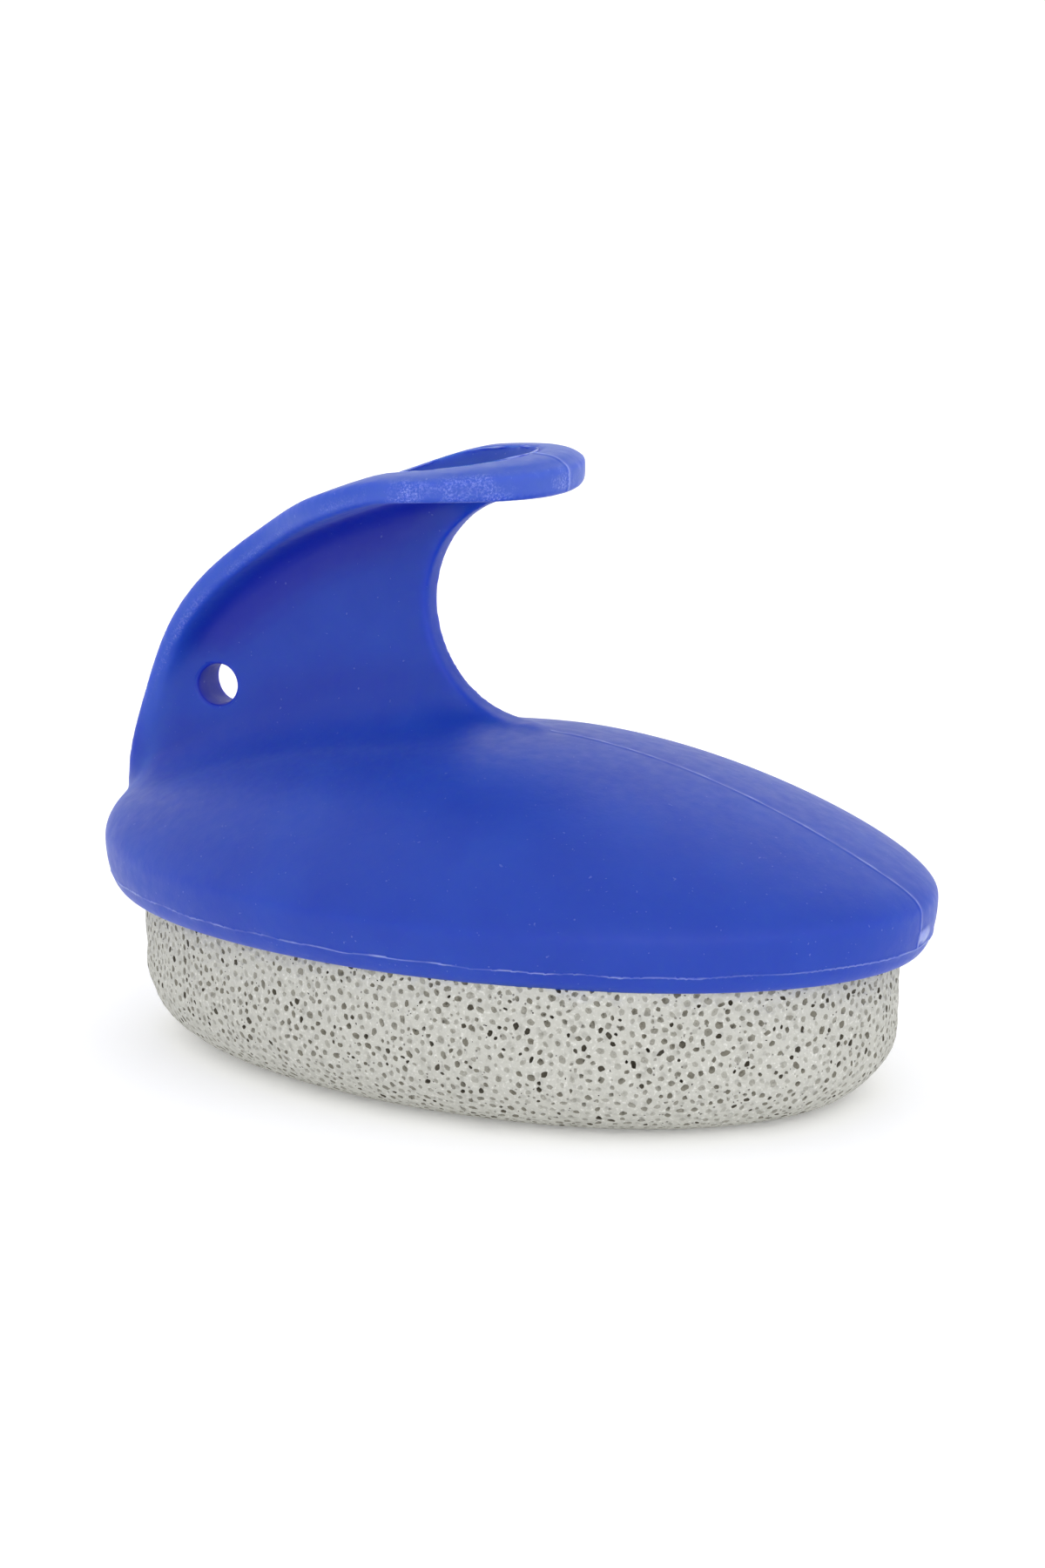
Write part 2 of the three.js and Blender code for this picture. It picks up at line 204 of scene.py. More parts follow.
def dome_skin():
    """Dome with its rounded rim and flat underside, in sections from the nose to the tail."""
    turn = np.linspace(0, math.pi, 261)
    along = np.cos(turn)
    across = np.sin(turn)
    across[[0, -1]] = 0
    half = []
    for angle in quarter_turn(14):
        inset = RIM_INSET * (1 - math.sin(angle))
        height = RIM_WIDEST - (RIM_WIDEST - RIM_BOTTOM) * math.cos(angle)
        level = np.full_like(turn, height)
        rim_x = (BODY_HALF_LENGTH - inset) * along
        rim_y = (BODY_HALF_WIDTH - inset) * across
        half.append(np.stack([rim_x, rim_y, level], 1))
    x = BODY_HALF_LENGTH * along
    y = BODY_HALF_WIDTH * across
    neck = np.minimum(FIN_HALF_THICKNESS / np.maximum(y, FIN_HALF_THICKNESS), FIN_NECK_SHARE)
    sweep_share = np.minimum(SWEEP_REACH / np.maximum(y, TINY), SWEEP_SHARE_MOST)
    sweep_from = neck + sweep_share
    for step in quarter_turn(30)[1:-1]:
        share = sweep_from + (1 - sweep_from) * math.cos(step)
        half.append(np.stack([x, y * share, dome_height(x, share)], 1))
    for step in quarter_turn(34):
        part = 1 - math.sin(step)
        share = neck + sweep_share * part
        height = dome_height(x, share) + sweep_height(x, sweep_share * y, part)
        half.append(np.stack([x, y * share, height], 1))
    return skinned("dome", both_sides(half))


def smooth_line(points, count):
    """Even points on a cubic spline that leaves its last point the way the tab goes on."""
    span = np.linalg.norm(np.diff(points, axis=0), axis=1)
    at = np.concatenate([[0], np.cumsum(span)])
    size = len(points)
    system = np.zeros((size, size))
    wanted = np.zeros((size, 3))
    system[0, 0] = 1
    slope = np.diff(points, axis=0) / span[:, None]
    for i in range(1, size - 1):
        system[i, i - 1:i + 2] = span[i - 1], 2 * (span[i - 1] + span[i]), span[i]
        wanted[i] = 6 * (slope[i] - slope[i - 1])
    system[-1, -2:] = span[-1], 2 * span[-1]
    wanted[-1] = 6 * (np.array((1.0, 0.0, TAB_RISE / TAB_RADIUS)) - slope[-1])
    bend = np.linalg.solve(system, wanted)
    run = np.linspace(0, at[-1], count)
    i = np.clip(np.searchsorted(at, run, side="right") - 1, 0, size - 2)
    left = ((at[i + 1] - run) / span[i])[:, None]
    right = 1 - left
    width = (span[i] ** 2 / 6)[:, None]
    curve = left * points[i] + right * points[i + 1]
    return curve + width * ((left**3 - left) * bend[i] + (right**3 - right) * bend[i + 1])


def flange_stations():
    """Points along the flange's edge, with the ways out past the edge and in from the outer face."""
    back = smooth_line(FLANGE_EDGE, BACK_STATIONS)[:-1]
    angle = np.linspace(math.pi / 2, 0, TAB_STATIONS)
    tab = np.stack([
        TAB_X + TAB_RADIUS * np.cos(angle),
        TAB_RADIUS * np.sin(angle),
        TAB_TOP + TAB_RISE * np.cos(angle),
    ], 1)
    edge = np.concatenate([back, tab])
    tangent = np.gradient(edge, axis=0)
    tangent[len(back):] = np.stack([np.sin(angle), -np.cos(angle), 0 * angle], 1)
    tangent /= np.linalg.norm(tangent, axis=1)[:, None]
    forward = np.hypot(tangent[:, 0], tangent[:, 2])
    along = tangent * (1, 0, 1) / np.maximum(forward, TINY)[:, None]
    along[len(back):] = 1, 0, 0
    outward = -tangent[:, 1:2] * along
    outward[:, 1] = forward
    inward = np.stack([along[:, 2], 0 * forward, -along[:, 0]], 1)
    return edge, outward, inward


edge_line, edge_outward, edge_inward = flange_stations()


def on_edge(inset, depth):
    """Places set in from the flange's edge and down from its outer face, one for each station."""
    set_in = edge_outward * np.reshape(inset, (-1, 1))
    set_down = edge_inward * np.reshape(depth, (-1, 1))
    return edge_line - set_in + set_down


def in_rest(inset, depth):
    """The same within the finger rest, which narrows to a round end along the flange."""
    run = np.clip((edge_line[:, 0] - REST_TAIL_X) / REST_CLOSING, 0, 1)
    closing = np.sqrt(1 - (1 - run) ** 2)
    place = on_edge(inset, depth * np.clip(closing * REST_END_STEEPNESS, 0, 1))
    place[:, 1] = np.maximum(place[:, 1] * closing, 0)
    return place


def flange_skin():
    """Flange and tab with the sunk finger rest, in sections from the tail to the tab's tip."""
    x, y, z = edge_line.T
    tail_width = FLANGE_EDGE[0, 1]
    taper = np.where(x > TAB_X, 1, np.clip((y - tail_width) / (TAB_RADIUS - tail_width), 0, 1))
    to_tip = np.clip((x - TAB_X) / TAB_RADIUS, 0, 1)
    thickness = FLANGE_AT_TAIL + (FLANGE_AT_TAB - FLANGE_AT_TAIL) * taper
    thickness += (FLANGE_AT_TIP - FLANGE_AT_TAB) * to_tip**2
    wedge = np.clip((WEDGE_FROM_Z - z) / (WEDGE_FROM_Z - WEDGE_TO_Z), 0, 1)
    upper_round = FLANGE_ROUND + (TAB_ROUND - FLANGE_ROUND) * taper
    drop_from = FLANGE_EDGE[-3, 0]
    drop = TAB_DROP * np.clip((x - drop_from) / (TAB_X - drop_from), 0, 1)
    drop += (TIP_DROP - TAB_DROP) * to_tip**2
    lower_round = FLANGE_LOWER_ROUND + (FLANGE_ROUND - FLANGE_LOWER_ROUND) * taper
    lower_round = np.maximum(lower_round * (1 - wedge), LEAST_ROUND)

    floor = in_rest(REST_RIM + REST_ROUND, REST_DEPTH)
    half = [floor * (1, share, 1) for share in (0, 0.25, 0.5, 0.75, 1)]
    for angle in quarter_turn(5)[1:]:
        inset = REST_RIM + REST_ROUND * (1 - math.sin(angle))
        half.append(in_rest(inset, REST_DEPTH - REST_ROUND * (1 - math.cos(angle))))
    half += [in_rest(REST_RIM, REST_DEPTH * share) for share in (0.4, 0.15, 0)]
    inner = in_rest(REST_RIM, 0.0)
    outer = on_edge(upper_round, 0.0)
    for share in (0.2, 0.35, 0.5, 0.6, 0.7, 0.8, 0.9):
        half.append(inner + (outer - inner) * share + edge_inward * (drop * share**DROP_POWER)[:, None])
    for angle in quarter_turn(6):
        inset = upper_round * (1 - math.sin(angle))
        half.append(on_edge(inset, drop + upper_round * (1 - math.cos(angle))))
    for angle in quarter_turn(7):
        inset = lower_round * (1 - math.cos(angle))
        half.append(on_edge(inset, thickness - lower_round * (1 - math.sin(angle))))
    for place in half:
        place[:, 1] = np.maximum(place[:, 1], 0)

    lower = on_edge(lower_round, thickness)
    reach = np.maximum(lower[:, 1], LEAST_REACH)
    neck = np.minimum(FIN_HALF_THICKNESS, reach / 2)
    crown = FLANGE_CROWN * (reach / TAB_RADIUS) ** 2
    from_gap = lower - (GAP_X, 0, GAP_Z)
    towards_gap = -np.sum(from_gap * edge_inward, 1)
    passes_by = np.sum((from_gap * (1, 0, 1)) ** 2, 1) - towards_gap**2
    to_gap = towards_gap - np.sqrt(np.maximum(GAP_RADIUS**2 - passes_by, 0)) - crown
    room = np.where(passes_by < GAP_RADIUS**2, np.maximum(to_gap, 0) / 2, NO_LIMIT)
    room = np.where(x < GAP_X, room, 0)
    cove_across = np.minimum(COVE_ACROSS, COVE_SHARE * (reach - neck))
    cove_depth = np.minimum(COVE_DEPTH + (WEDGE_DEPTH - COVE_DEPTH) * wedge, room)

    def under(across, depth):
        """Places under the flange, this far from its middle and below its crowned lower face."""
        lowered = lower + edge_inward * (depth + crown * (1 - (across / reach) ** 2))[:, None]
        return np.stack([lowered[:, 0], across, lowered[:, 2]], 1)

    for share in (0.8, 0.6, 0.4, 0.2):
        half.append(under(neck + cove_across + (reach - neck - cove_across) * share, 0.0))
    for share in np.linspace(0, 1, 14):
        inwards = wedge * share + (1 - wedge) * math.sin(share * math.pi / 2)
        downwards = wedge * share + (1 - wedge) * (1 - math.cos(share * math.pi / 2))
        half.append(under(neck + cove_across * (1 - inwards), cove_depth * downwards))
    return skinned("flange", both_sides(half))


def fin_skin():
    """Upright web between dome and flange, with a rounded edge in the finger gap."""
    under_rest = np.clip((edge_line[:, 0] - REST_TAIL_X + FIN_REST_LEAD) / FIN_REST_LEAD, 0, 1)
    cover = FIN_COVER + (REST_DEPTH + FIN_REST_COVER - FIN_COVER) * under_rest
    back = edge_line + edge_inward * cover[:, None]
    gap_start = math.pi / 2 + 2 * FIN_HALF_THICKNESS / GAP_RADIUS
    gap_turn = np.linspace(gap_start, 1.5 * math.pi, 120)
    front = np.stack([GAP_X + GAP_RADIUS * np.cos(gap_turn), GAP_Z + GAP_RADIUS * np.sin(gap_turn)], 1)
    under_tab = (front[0, 0], TAB_TOP - REST_DEPTH - FIN_REST_COVER)
    runout = GAP_X + FIN_RUNOUT
    foot = [(runout, ridge_height(runout) - FIN_EDGE), (GAP_X, RIM_WIDEST + 2 * FIN_HALF_THICKNESS)]
    behind = back[:, 0] < front[0, 0]
    outline = np.concatenate([back[behind][:, [0, 2]], [under_tab], front, foot])
    plate = bpy.data.curves.new("fin", "CURVE")
    plate.dimensions = "2D"
    plate.fill_mode = "BOTH"
    plate.extrude = FIN_HALF_THICKNESS - FIN_EDGE
    plate.bevel_depth = FIN_EDGE
    plate.bevel_resolution = 3
    plate.offset = -FIN_EDGE
    spline = plate.splines.new("POLY")
    spline.points.add(len(outline) - 1)
    spline.points.foreach_set("co", np.insert(outline, [2, 2], (0, 1), axis=1).ravel())
    spline.use_cyclic_u = True
    carrier = bpy.data.objects.new("fin", plate)
    bpy.context.scene.collection.objects.link(carrier)
    seen = carrier.evaluated_get(bpy.context.evaluated_depsgraph_get())
    mesh = bpy.data.meshes.new_from_object(seen)
    mesh.transform(Matrix.Rotation(math.pi / 2, 4, "X"))
    bpy.data.objects.remove(carrier)
    return mesh


def melted(name, skins, size):
    """One even skin of square faces round several closed meshes that overlap."""
    bm = bmesh.new()
    for skin in skins:
        bm.from_mesh(skin)
    bmesh.ops.remove_doubles(bm, verts=bm.verts, dist=WELD_DISTANCE)
    mesh = bpy.data.meshes.new(name)
    bm.to_mesh(mesh)
    bm.free()
    carrier = bpy.data.objects.new(name, mesh)
    bpy.context.scene.collection.objects.link(carrier)
    remesh = carrier.modifiers.new("melt", "REMESH")
    remesh.mode = "VOXEL"
    remesh.voxel_size = size
    seen = carrier.evaluated_get(bpy.context.evaluated_depsgraph_get())
    result = bpy.data.meshes.new_from_object(seen)
    bpy.data.objects.remove(carrier)
    return result


def cut_out(block, cutter):
    """The block with the cutter's closed forms taken out of it."""
    carriers = []
    for mesh in (block, cutter):
        bm = bmesh.new()
        bm.from_mesh(mesh)
        bmesh.ops.recalc_face_normals(bm, faces=bm.faces)
        bmesh.ops.triangulate(bm, faces=bm.faces)
        bm.to_mesh(mesh)
        bm.free()
        carrier = bpy.data.objects.new(mesh.name, mesh)
        bpy.context.scene.collection.objects.link(carrier)
        carriers.append(carrier)
    boolean = carriers[0].modifiers.new("cut", "BOOLEAN")
    boolean.operation = "DIFFERENCE"
    boolean.solver = "MANIFOLD"
    boolean.object = carriers[1]
    seen = carriers[0].evaluated_get(bpy.context.evaluated_depsgraph_get())
    result = bpy.data.meshes.new_from_object(seen)
    # The cut leaves an empty material slot, which would come before the piece's own material
    result.materials.clear()
    for carrier in carriers:
        bpy.data.objects.remove(carrier)
    return result


def points_of(mesh):
    """Vertex places as an array."""
    points = np.empty(len(mesh.vertices) * 3)
    mesh.vertices.foreach_get("co", points)
    return points.reshape(-1, 3)


def normals_of(mesh):
    """Vertex normals as an array."""
    normals = np.empty(len(mesh.vertices) * 3)
    mesh.vertex_normals.foreach_get("vector", normals)
    return normals.reshape(-1, 3)


def edges_of(mesh):
    """Vertex pairs of the edges as an array."""
    edges = np.empty(len(mesh.edges) * 2, dtype=np.int64)
    mesh.edges.foreach_get("vertices", edges)
    return edges.reshape(-1, 2)


def neighbour_mean(values, edges):
    """For each vertex, the mean of a value or place over its neighbours."""
    first = np.concatenate([edges[:, 0], edges[:, 1]])
    second = np.concatenate([edges[:, 1], edges[:, 0]])
    count = np.maximum(np.bincount(first, minlength=len(values)), 1)
    columns = values.reshape(len(values), -1).T
    sums = [np.bincount(first, weights=column[second], minlength=len(values)) for column in columns]
    return (np.stack(sums, 1) / count[:, None]).reshape(values.shape)


def set_points(mesh, points):
    """Moves the vertices to new places."""
    mesh.vertices.foreach_set("co", points.ravel())
    mesh.update()


handle_mesh = melted("handle_moulding", [dome_skin(), fin_skin(), flange_skin()], MELT_SIZE)
handle_edges = edges_of(handle_mesh)
handle_points = points_of(handle_mesh)
for _ in range(SMOOTH_STEPS):
    for push in SMOOTH_PUSHES:
        handle_points += push * (neighbour_mean(handle_points, handle_edges) - handle_points)
set_points(handle_mesh, handle_points)


def hollowness():
    """How far each point lies under the middle of its neighbours, below 0 on an outer edge."""
    rise = neighbour_mean(handle_points, handle_edges) - handle_points
    value = np.sum(rise * normals_of(handle_mesh), 1)
    for _ in range(CORNER_EVENING):
        value = 0.5 * value + 0.5 * neighbour_mean(value, handle_edges)
    return value


corner = np.clip((hollowness() - CORNER_FROM) / CORNER_RANGE, 0, 1)
corner *= handle_points[:, 2] > RIM_BOTTOM + CORNER_ABOVE_BASE
for _ in range(CORNER_SPREAD):
    corner = np.maximum(corner, neighbour_mean(corner, handle_edges))
for _ in range(CORNER_STEPS):
    to_middle = neighbour_mean(handle_points, handle_edges) - handle_points
    handle_points += (CORNER_PUSH * corner)[:, None] * to_middle
set_points(handle_mesh, handle_points)


def hole_core():
    """Pin that keeps the hanging hole open in the mould, flared at both faces to round the hole's edges."""
    turn = full_turn(96)
    bm = bmesh.new()
    bm.from_mesh(handle_mesh)
    skin = BVHTree.FromBMesh(bm)
    bm.free()
    middle = HOLE_RADIUS + HOLE_ROUND / 2
    starts = [(HOLE_X + middle * math.cos(t), OUTSIDE_Y, HOLE_Z + middle * math.sin(t)) for t in turn]
    face = np.array([-skin.ray_cast(Vector(start), Vector((0, 1, 0)))[0].y for start in starts])
    near = []
    for angle in quarter_turn(6):
        near.append((HOLE_ROUND * (1 - math.cos(angle)), HOLE_ROUND * (math.sin(angle) - 1)))
    near.append((HOLE_ROUND + HOLE_FLARE, HOLE_CORE_PROUD))
    rings = []
    for side, profile in ((-1, near[::-1]), (1, near)):
        for wider, proud in profile:
            radius = HOLE_RADIUS + wider
            rings.append(np.stack([
                HOLE_X + radius * np.cos(turn),
                side * (face + proud),
                HOLE_Z + radius * np.sin(turn),
            ], 1))
    return skinned("hole_core", np.stack(rings))


handle_mesh = cut_out(handle_mesh, hole_core())

# Flash is the thin raised line that the mould's halves leave: upright along the middle, level round the rim,
# with the rough scar of the sprue at the nose. The heights of its stretches are shares of the full height.
FLASH_HALF_WIDTH = 0.2
FLASH_HEIGHT = 0.13
FLASH_LEVEL = 19.2
FLASH_SNAP = 0.03
FLASH_NEAR = 0.035
FLASH_ON_TAB = 0.9
FLASH_UPRIGHT = 0.4
FLASH_ROUND_RIM = 0.25
FLASH_VARIES = 0.6
RIDGE_FLASH_LEAD = 2.0
TAB_FLASH_FROM_X = -13.0
TAB_FLASH_FROM_Z = 62.0
BACK_FLASH_TO_X = -16.0
WAVER = 0.06
WAVER_REACH = 0.3
SCAR_X = 45.0
SCAR_Y = 1.5
SCAR_Z = 20.3
SCAR_HALF_WIDTH = 1.6
SCAR_HALF_HEIGHT = 0.8
SCAR_RISE = 0.6
UNDERSIDE_DEPTH = 0.05
FLANGE_FROM_X = -47.0
FLANGE_SIDE_DEPTH = 3.4
POCKET_MARGIN = 0.4
POCKET_FROM = 0.6
POCKET_PAST_FLOOR = 1.0


def raggedness(x, y, z):
    """Uneven value from 0.1 to 1 along a line of flash."""
    waves = np.sin(0.9 * x + 0.4 * y) + np.sin(0.43 * x + 0.9 * z + 1)
    waves = waves + np.sin(1.7 * x - 1.3 * z) + np.sin(1.3 * y - x)
    return np.clip(0.5 + 0.2 * waves, 0.1, 1)


def add_values(mesh, name, values, domain="POINT"):
    """Keeps one number for each vertex or face on the mesh, for its material."""
    mesh.attributes.new(name, "FLOAT", domain).data.foreach_set("value", values.astype(np.float32))


bm = bmesh.new()
bm.from_mesh(handle_mesh)
base_top = RIM_BOTTOM + UNDERSIDE_DEPTH
underside = [face for face in bm.faces if max(vert.co.z for vert in face.verts) < base_top]
bmesh.ops.dissolve_faces(bm, faces=underside)
for offset in (-FLASH_HALF_WIDTH, 0.0, FLASH_HALF_WIDTH):
    for place, way in (((0, offset, 0), (0, 1, 0)), ((0, 0, FLASH_LEVEL + offset), (0, 0, 1))):
        everything = bm.verts[:] + bm.edges[:] + bm.faces[:]
        bmesh.ops.bisect_plane(bm, geom=everything, dist=FLASH_SNAP, plane_co=place, plane_no=way)
bmesh.ops.triangulate(bm, faces=[face for face in bm.faces if len(face.verts) > 4])
bm.to_mesh(handle_mesh)
bm.free()

# The columns x, y and z are views, so that a change to one moves the points
handle_points = points_of(handle_mesh)
x, y, z = handle_points.T
handle_normals = normals_of(handle_mesh)
faces_up = handle_normals[:, 2]
# Past the tail the flange's edge runs forward all the way, so it can be looked up by x
rising_back = edge_line[TAIL_STATIONS:BACK_STATIONS]
rising_edge = edge_line[TAIL_STATIONS:]
edge_y = np.where(x > TAB_X, 0, np.interp(x, rising_back[:, 0], rising_back[:, 1]))
from_edge = np.where(x > TAB_X, TAB_RADIUS - np.hypot(x - TAB_X, y), edge_y - np.abs(y))
under_top = np.interp(x, rising_edge[:, 0], rising_edge[:, 2]) - z
on_flange = (under_top < FLANGE_SIDE_DEPTH) & (x > FLANGE_FROM_X)
under_top = under_top * -np.interp(x, rising_edge[:, 0], edge_inward[TAIL_STATIONS:, 2])
in_pocket = (x > REST_TAIL_X) & (from_edge > REST_RIM - POCKET_MARGIN) & (under_top > POCKET_FROM)
in_pocket &= (under_top < REST_DEPTH + POCKET_PAST_FLOOR) & (faces_up > -0.2)

ragged = raggedness(x, y, z)
on_ridge = (x > RIDGE_PEAK_X + RIDGE_FLASH_LEAD) & (z > FLASH_LEVEL)
on_tab = (x > TAB_FLASH_FROM_X) & (z > TAB_FLASH_FROM_Z)
on_back = (x < BACK_FLASH_TO_X) & (handle_normals[:, 0] < 0)
upright = (np.abs(y) < FLASH_NEAR) & (on_ridge | on_tab | on_back) & (faces_up > -0.6) & ~in_pocket
faces_out = np.hypot(handle_normals[:, 0], handle_normals[:, 1])
level = (np.abs(z - FLASH_LEVEL) < FLASH_NEAR) & (faces_out > 0.5)
scar_spread = ((y - SCAR_Y) / SCAR_HALF_WIDTH) ** 2 + ((z - SCAR_Z) / SCAR_HALF_HEIGHT) ** 2
scar = np.exp(-scar_spread**2) * (x > SCAR_X)
upright_height = np.where(on_tab, FLASH_ON_TAB, FLASH_UPRIGHT + FLASH_VARIES * ragged)
level_height = np.where(level, FLASH_ROUND_RIM + FLASH_VARIES * ragged, 0)
raised = np.where(upright, upright_height, level_height)
raised = np.maximum(raised, scar * (SCAR_RISE + FLASH_VARIES * ragged))
handle_points += handle_normals * (FLASH_HEIGHT * raised)[:, None]
near_level = np.abs(z - FLASH_LEVEL) < WAVER_REACH
z += WAVER * (np.sin(0.35 * x) + np.sin(0.83 * x + 1)) * near_level
set_points(handle_mesh, handle_points)
add_values(handle_mesh, "flash", np.clip(raised, 0, 1))

# Wear and handling leave a pale bloom, with a painted highlight, on open faces and scuffs on the flange's
# edge.
# Deep hollows and the hanging hole get painted shade, and dust gathers on the floor of the finger rest.
SHELTER_STEPS = 70
SHELTER_FROM = 0.06
SHELTER_TO = 0.35
SHELTER_ABOVE_DOME = 6.0
SHELTER_AT_FOOT = 0.4
SHELTER_SPREAD = 12
DUST_FROM_DEPTH = 1.6
DUST_TO_Y = 3.0
DUST_FADE = 5.0
SCUFF_FROM_X = -11.0
SCUFF_FADE = 4.0
SCUFF_WIDTH = 0.8
SCUFF_FULLNESS = 1.4
LOW_EDGE_DEPTH = 2.0
LOW_EDGE_WIDTH = 0.5
LOW_EDGE_SHARE = 0.5
BLOOM_HIGHLIGHT_WIDTH = 1.2
BLOOM_HIGHLIGHT_DEPTH = 4.5
BLOOM_HIGHLIGHT_IN_POCKET = 0.65
BLOOM_HIGHLIGHT_SPREAD = 10

handle_edges = edges_of(handle_mesh)
evened = handle_points.copy()
for _ in range(SHELTER_STEPS):
    evened = neighbour_mean(evened, handle_edges)
# Painted shade: the deeper a point lies in a hollow, the darker its blue, and the hanging hole's wall as well
painted_hollow_shade = np.sum((evened - handle_points) * handle_normals, 1)
painted_hollow_shade = np.clip((painted_hollow_shade - SHELTER_FROM) / (SHELTER_TO - SHELTER_FROM), 0, 1)
above_dome = np.clip((z - ridge_height(x) - SHELTER_ABOVE_DOME) / SHELTER_ABOVE_DOME, 0, 1)
painted_hollow_shade *= (SHELTER_AT_FOOT + (1 - SHELTER_AT_FOOT) * above_dome) * ~in_pocket
for _ in range(SHELTER_SPREAD):
    painted_hollow_shade = neighbour_mean(painted_hollow_shade, handle_edges)
in_hole = np.clip((HOLE_RADIUS + HOLE_ROUND - np.hypot(x - HOLE_X, z - HOLE_Z)) / HOLE_ROUND, 0, 1)
add_values(handle_mesh, "painted_hollow_shade", np.maximum(painted_hollow_shade, in_hole))
rest_floor = in_pocket & (under_top > DUST_FROM_DEPTH) & (faces_up > 0.8)
add_values(handle_mesh, "rest_dust", rest_floor * np.clip((DUST_TO_Y - y) / DUST_FADE, 0, 1))
on_tab_side = np.clip((x - SCUFF_FROM_X) / SCUFF_FADE, 0, 1)
low_edge = np.exp(-((under_top - LOW_EDGE_DEPTH) / LOW_EDGE_WIDTH) ** 2)
scuff = np.clip(SCUFF_FULLNESS - from_edge / SCUFF_WIDTH, 0, 1) * on_flange
scuff_share = on_tab_side + LOW_EDGE_SHARE * (1 - on_tab_side) * low_edge
add_values(handle_mesh, "side_scuff", scuff * scuff_share)
# Pale bloom with a painted highlight on faces turned up near the flange's top and along its edge
open_face = ((from_edge < BLOOM_HIGHLIGHT_WIDTH) | (faces_up > 0.3)) & (under_top < BLOOM_HIGHLIGHT_DEPTH) & (x > FLANGE_FROM_X)
bloom_and_highlight = open_face * np.where(in_pocket, BLOOM_HIGHLIGHT_IN_POCKET, 1.0)
for _ in range(BLOOM_HIGHLIGHT_SPREAD):
    bloom_and_highlight = neighbour_mean(bloom_and_highlight, handle_edges)
add_values(handle_mesh, "bloom_and_highlight", bloom_and_highlight)

# Tones of the plastic, from its own blue to the pale marks on it, with painted shade and a painted highlight
DEEP_BLUE = (0.0030, 0.038, 0.380, 1)
CLEAR_BLUE = (0.0060, 0.052, 0.415, 1)
PAINTED_SHADE_BLUE = (0.0012, 0.0125, 0.345, 1)
BLOOM_HIGHLIGHT_BLUE = (0.024, 0.088, 0.48, 1)
RUBBED_BLUE = (0.36, 0.43, 0.82, 1)
SCRATCHED_BLUE = (0.40, 0.47, 0.84, 1)
LINT_BLUE = (0.40, 0.47, 0.80, 1)
DUST_BLUE = (0.50, 0.55, 0.80, 1)
FLASH_BLUE = (0.52, 0.58, 0.86, 1)


def wired(tree, kind, inputs=None, **settings):
    """A new shader node with its settings, each input either a fixed value or another node's output."""
    made = tree.nodes.new(kind)
    for name, value in settings.items():
        setattr(made, name, value)
    for name, value in (inputs or {}).items():
        if isinstance(value, bpy.types.NodeSocket):
            tree.links.new(value, made.inputs[name])
        else:
            made.inputs[name].default_value = value
    return made


def grain(tree, place, scale, detail=2.0, roughness=0.5):
    """Soft random pattern through the material, with about this many spots to the metre."""
    inputs = {"Vector": place, "Scale": scale, "Detail": detail, "Roughness": roughness}
    return wired(tree, "ShaderNodeTexNoise", inputs).outputs["Fac"]


def stretched(tree, value, low, high, to_low=0.0, to_high=1.0):
    """Spreads a value between two limits over another range, clipped at the ends."""
    inputs = {"Value": value, "From Min": low, "From Max": high, "To Min": to_low, "To Max": to_high}
    return wired(tree, "ShaderNodeMapRange", inputs).outputs["Result"]


def combined(tree, way, first, second):
    """Two values added, subtracted, multiplied or compared."""
    return wired(tree, "ShaderNodeMath", {0: first, 1: second}, operation=way).outputs["Value"]


def kept(tree, name):
    """A number that the mesh keeps for each vertex or face."""
    return wired(tree, "ShaderNodeAttribute", attribute_name=name).outputs["Fac"]


def tinted(tree, amount, under, over, strength=1.0):
    """One colour laid over another, by an amount times a strength."""
    share = combined(tree, "MULTIPLY", amount, strength)
    return wired(tree, "ShaderNodeMix", {0: share, 6: under, 7: over}, data_type="RGBA").outputs[2]


